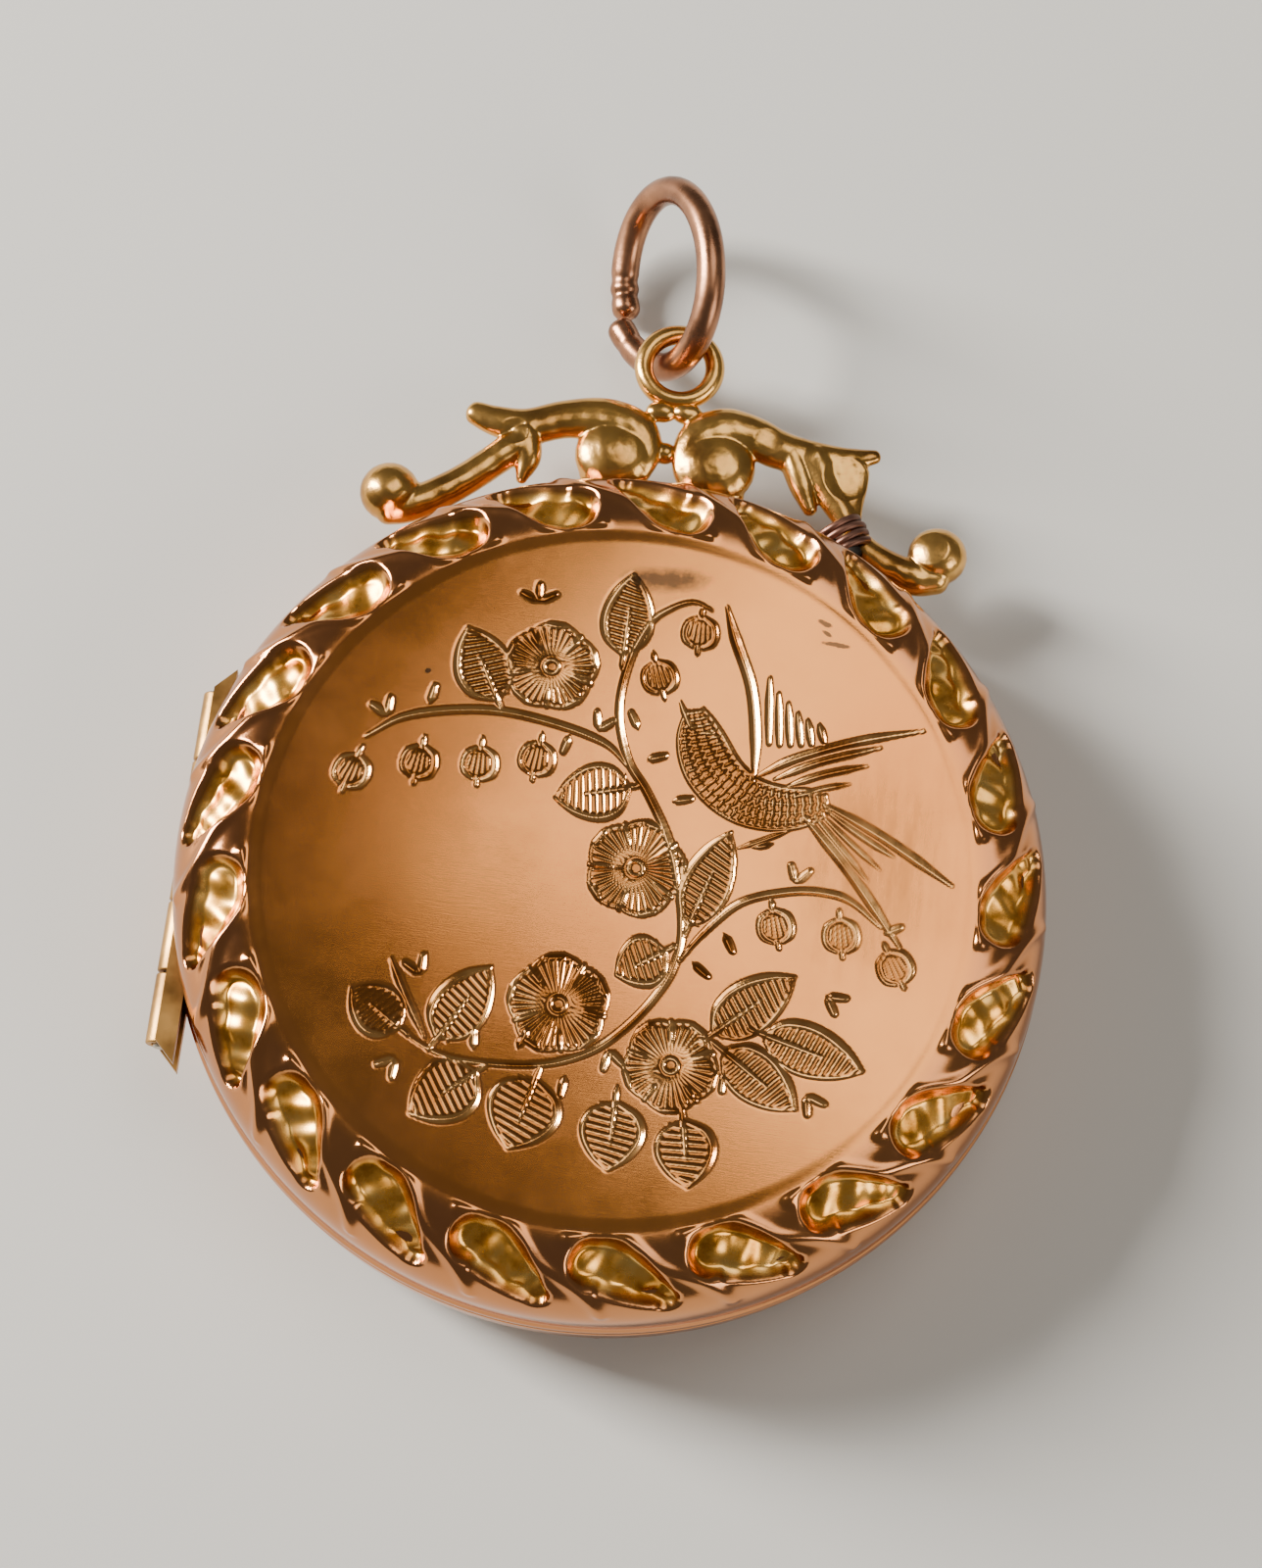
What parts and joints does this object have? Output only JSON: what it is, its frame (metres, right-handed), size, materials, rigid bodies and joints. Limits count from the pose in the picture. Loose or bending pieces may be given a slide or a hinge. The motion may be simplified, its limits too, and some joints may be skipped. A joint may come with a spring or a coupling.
{
  "type": "hinged locket",
  "caption": "Round hinged locket in rose gold with a pressed wave border, engraved bird and flowers, scroll crown, bail loop and an open jump ring.",
  "frame": {"origin": "middle of the flat back panel, in the plane it rests on", "axes": "+Z out of the engraved face, +Y from the middle of the case towards the crown and jump ring, hinge on the -X side"},
  "size_m": [0.029, 0.0413, 0.0074],
  "materials": {
    "rose_gold": "polished rose gold",
    "rose_gold_back": "polished rose gold, worn",
    "gilt_base_metal": "gilt",
    "gilt_base_metal_lid": "gilt",
    "hinge_gold": "polished",
    "hinge_pin_steel": "drawn wire",
    "crown_yellow_gold": "cast and polished",
    "bezel_gilt": "gilt, polished",
    "jump_ring_rose": "drawn wire, tarnished",
    "oxidised_copper_wire": "oxidised",
    "blackened_solder": "matt, burnt",
    "photo_card_paper": "plain paper card",
    "clear_window": "clear"
  },
  "bodies": {
    "back_half": {"back_cover": "rose_gold_back", "back_pan": "gilt_base_metal", "back_photo_card": "photo_card_paper", "back_window": "clear_window", "back_bezel": "bezel_gilt", "back_hinge_plate": "hinge_gold", "back_knuckle_1": "hinge_gold", "back_knuckle_2": "hinge_gold", "back_knuckle_3": "hinge_gold", "hinge_pin": "hinge_pin_steel", "left_scroll": "crown_yellow_gold", "right_scroll": "crown_yellow_gold", "right_scroll_tip": "crown_yellow_gold", "binding_wire": "oxidised_copper_wire", "repair_solder": "blackened_solder", "bail_loop": "crown_yellow_gold"},
    "lid": {"front_cover": "rose_gold", "front_pan": "gilt_base_metal_lid", "front_photo_card": "photo_card_paper", "front_window": "clear_window", "front_bezel": "bezel_gilt", "front_hinge_plate": "hinge_gold", "front_knuckle_1": "hinge_gold", "front_knuckle_2": "hinge_gold", "closing_lip": "gilt_base_metal_lid"},
    "ring": {"jump_ring": "jump_ring_rose"}
  },
  "joints": [
    {"name": "lid_hinge", "type": "hinge", "parent": "back_half", "child": "lid", "pos_m": [-0.014, 0, 0.0036], "axis": [0, -1, 0], "range_deg": [0, 115]},
    {"name": "jump_ring_swing", "type": "hinge", "parent": "back_half", "child": "ring", "pos_m": [-0.00029, 0.02097, 0.003], "axis": [0.8263, 0.1908, -0.5299], "range_deg": [-45, 60]}
  ]
}
